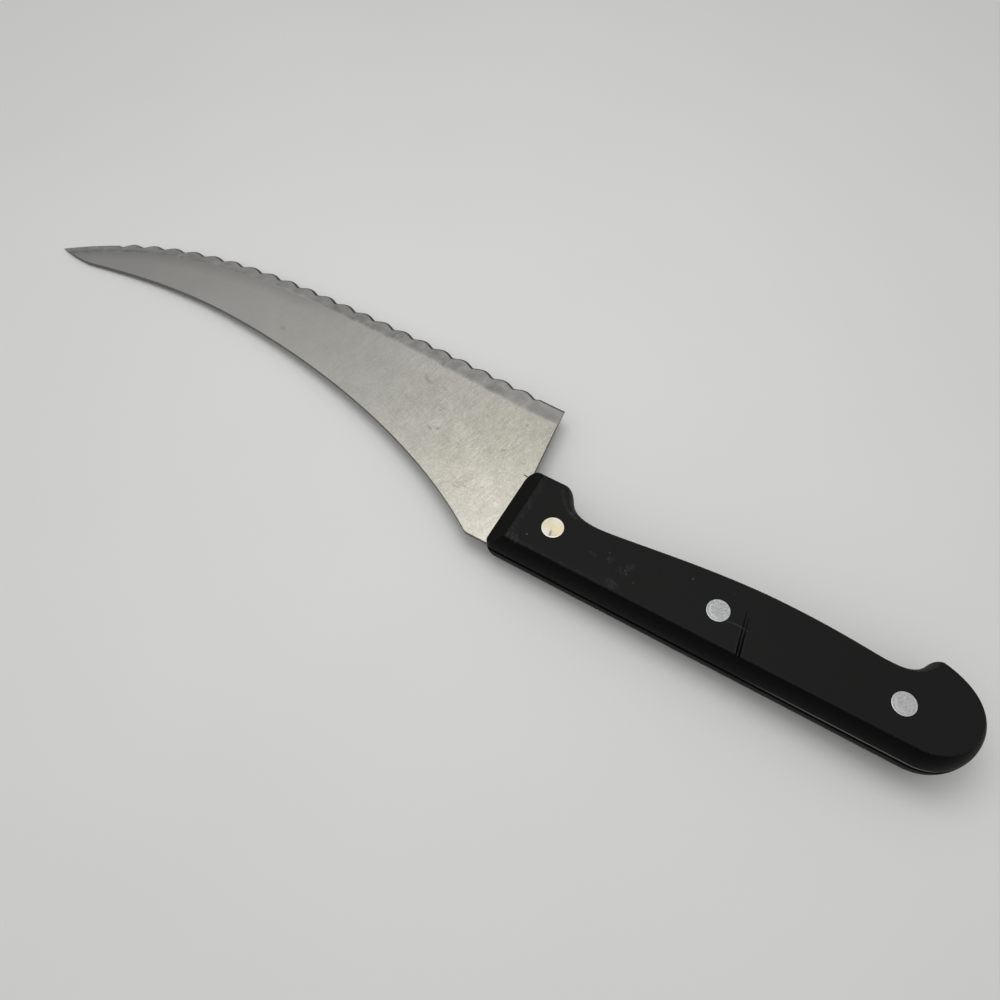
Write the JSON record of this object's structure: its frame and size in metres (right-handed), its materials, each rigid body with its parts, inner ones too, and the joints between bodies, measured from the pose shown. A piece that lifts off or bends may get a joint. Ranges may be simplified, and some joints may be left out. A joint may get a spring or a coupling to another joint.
{
  "type": "serrated kitchen knife",
  "caption": "Curved stamped-steel kitchen knife with a scalloped edge ground on one face, and black plastic handle scales riveted to its tang.",
  "frame": {"origin": "middle of the knife's box in plan, on the outer flat of the left scale, which faces down", "axes": "+X from the tip to the butt, +Y from the spine to the cutting edge, +Z from the left side to the right"},
  "size_m": [0.3042, 0.0512, 0.015],
  "materials": {
    "steel": "satin, brushed across the blade",
    "plastic": "matt, lightly scuffed",
    "rivet": "dull, lightly scratched"
  },
  "bodies": {
    "root": {"blade": "steel", "right_scale": "plastic", "left_scale": "plastic", "front_rivet_post": "rivet", "front_rivet_socket": "rivet", "middle_rivet_post": "rivet", "middle_rivet_socket": "rivet", "rear_rivet_post": "rivet", "rear_rivet_socket": "rivet"}
  },
  "joints": []
}
